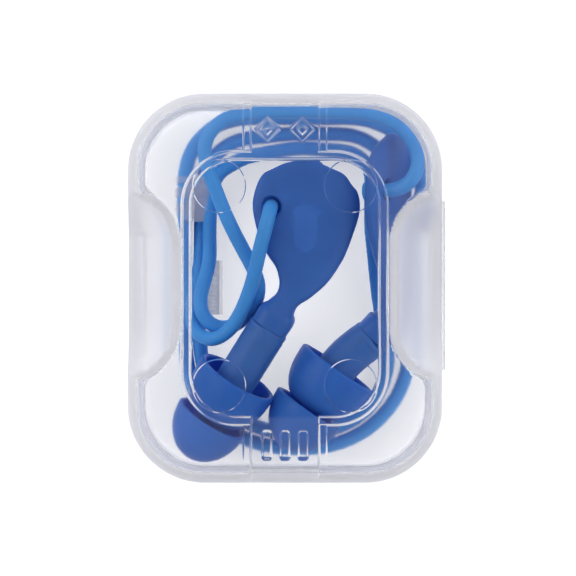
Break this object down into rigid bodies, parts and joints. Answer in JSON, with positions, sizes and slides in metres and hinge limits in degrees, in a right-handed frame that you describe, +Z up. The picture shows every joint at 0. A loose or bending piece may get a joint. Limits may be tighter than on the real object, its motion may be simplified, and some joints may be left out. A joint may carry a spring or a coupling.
{
  "type": "corded reusable earplugs in a clear hinged pocket case",
  "caption": "Flanged soft ear inserts on a looped cord, folded into a clear shallow box with a hinged lid, a snap tongue, a recessed window and finger scoops.",
  "frame": {"origin": "middle of the closed case's outline, on the underside that it rests on", "axes": "+Z up through the lid's window, +Y along the hinge, +X from the latch to the hinge"},
  "size_m": [0.0478, 0.0582, 0.022],
  "materials": {
    "clear_plastic": "gloss",
    "grip_blue": "satin",
    "soft_blue": "satin",
    "cord_blue": "satin",
    "tie_film": "translucent"
  },
  "bodies": {
    "base": {"case_base": "clear_plastic", "hinge_web": "clear_plastic", "grip_a": "grip_blue", "grip_b": "grip_blue", "core_pin_a": "grip_blue", "core_pin_b": "grip_blue", "stem_sleeve_a": "soft_blue", "stem_sleeve_b": "soft_blue", "base_flange_a": "soft_blue", "base_flange_b": "soft_blue", "tip_flange_a": "soft_blue", "tip_flange_b": "soft_blue", "cord_stop_a": "cord_blue", "cord_stop_b": "cord_blue", "cord_lead_a": "cord_blue", "cord_lead_b": "cord_blue", "cord_coil": "cord_blue", "tie_sleeve": "tie_film", "tie_tail": "tie_film"},
    "lid": {"case_lid": "clear_plastic"},
    "tongue": {"latch_tongue": "clear_plastic"}
  },
  "joints": [
    {"name": "lid_hinge", "type": "hinge", "parent": "base", "child": "lid", "pos_m": [0.0235, 0.0004, 0.011], "axis": [0, 1, 0], "range_deg": [0, 180], "deforming": ["hinge_web"]},
    {"name": "tongue_flex", "type": "hinge", "parent": "lid", "child": "tongue", "pos_m": [-0.02285, -0.0009, 0.0124], "axis": [0, 1, 0], "range_deg": [0, 12], "stiffness_Nm_per_rad": 0.02}
  ]
}
